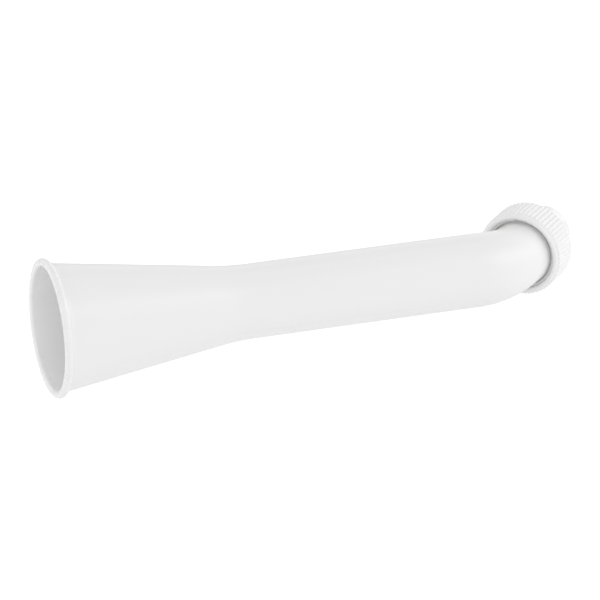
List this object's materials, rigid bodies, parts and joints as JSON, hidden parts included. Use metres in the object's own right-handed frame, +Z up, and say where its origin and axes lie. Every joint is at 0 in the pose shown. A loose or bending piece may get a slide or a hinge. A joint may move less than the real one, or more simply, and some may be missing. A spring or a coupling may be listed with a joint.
{
  "type": "filling funnel",
  "caption": "Long filling funnel with a flared, rolled mouth, an elbow and a captive knurled swivel nut that screws it onto a filler.",
  "frame": {"origin": "middle of the underside of the bounding box, on the floor that the funnel lies on", "axes": "+Z up and +X along the tube, from the mouth to the elbow; the funnel lies as it comes to rest, on the rim, the elbow and the nut, with the nose turned towards +Y and a little upwards"},
  "size_m": [0.3418, 0.0936, 0.0811],
  "materials": {
    "body_plastic": "semi-gloss moulded white",
    "nut_plastic": "satin moulded white",
    "ring_plastic": "natural acetal",
    "washer_rubber": "matt black"
  },
  "bodies": {
    "funnel": {"funnel_body": "body_plastic", "sealing_washer": "washer_rubber"},
    "ring": {"retaining_ring": "ring_plastic"},
    "nut": {"swivel_nut": "nut_plastic"}
  },
  "joints": [
    {"name": "nut_slide", "type": "slide", "parent": "funnel", "child": "ring", "axis": [-0.7245, -0.6526, -0.2217], "range_m": [0, 0.0026]},
    {"name": "nut_spin", "type": "hinge", "parent": "ring", "child": "nut", "pos_m": [0.1284, 0.00644, 0.02505], "axis": [0.7245, 0.6526, 0.2217], "continuous": true}
  ]
}
